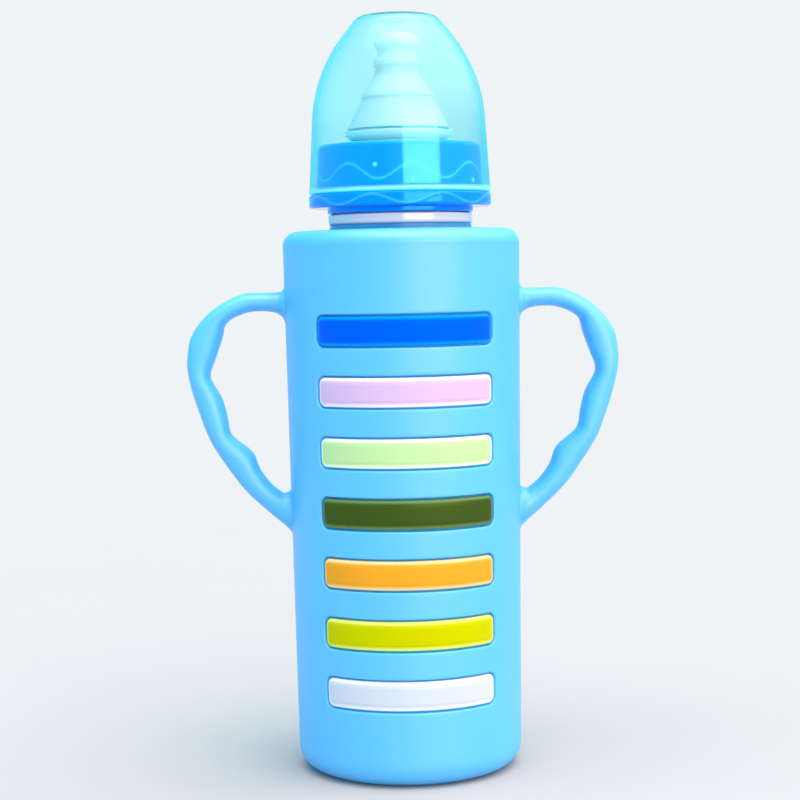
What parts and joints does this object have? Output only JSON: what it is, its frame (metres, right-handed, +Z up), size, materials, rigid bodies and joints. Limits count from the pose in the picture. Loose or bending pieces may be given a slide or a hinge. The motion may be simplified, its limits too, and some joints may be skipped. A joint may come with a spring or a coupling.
{
  "type": "baby bottle",
  "caption": "Glass baby bottle in a silicone sleeve with wavy side handles and coloured front strips, with a screw collar, a nipple and a clear hood.",
  "frame": {"origin": "centre of the base, on the surface that the bottle stands on", "axes": "+Z up along the bottle's axis, the coloured strips face -Y, the handles lie along X"},
  "size_m": [0.1124, 0.0612, 0.195],
  "materials": {
    "glass": "clear, polished",
    "sleeve_silicone": "satin sky-blue silicone",
    "collar_plastic": "translucent azure, glossy",
    "nipple_silicone": "clear silicone, satin",
    "hood_plastic": "translucent pale cyan, glossy",
    "strip_blue": "blue silicone, glossy",
    "strip_pink": "lilac pink silicone, glossy",
    "strip_pale_green": "pale green silicone, glossy",
    "strip_olive": "olive green silicone, glossy",
    "strip_orange": "orange silicone, glossy",
    "strip_lime": "lime yellow silicone, glossy",
    "strip_white": "bluish white silicone, glossy"
  },
  "bodies": {
    "bottle": {"glass_bottle": "glass", "silicone_sleeve": "sleeve_silicone", "strip_blue": "strip_blue", "strip_pink": "strip_pink", "strip_pale_green": "strip_pale_green", "strip_olive": "strip_olive", "strip_orange": "strip_orange", "strip_lime": "strip_lime", "strip_white": "strip_white"},
    "nipple": {"nipple": "nipple_silicone"},
    "collar": {"screw_collar": "collar_plastic"},
    "hood": {"hood": "hood_plastic"}
  },
  "joints": [
    {"name": "collar_turn", "type": "hinge", "parent": "nipple", "child": "collar", "pos_m": [0, 0, 0.146], "axis": [0, 0, 1], "range_deg": [0, 810]},
    {"name": "collar_lift", "type": "slide", "parent": "bottle", "child": "nipple", "axis": [0, 0, 1], "range_m": [0, 0.0091]},
    {"name": "hood_lift", "type": "slide", "parent": "collar", "child": "hood", "axis": [0, 0, 1], "range_m": [0, 0.06]}
  ],
  "couplings": [
    {"joint": "collar_lift", "follows": "collar_turn", "m_per_rad": 0.00063662}
  ]
}
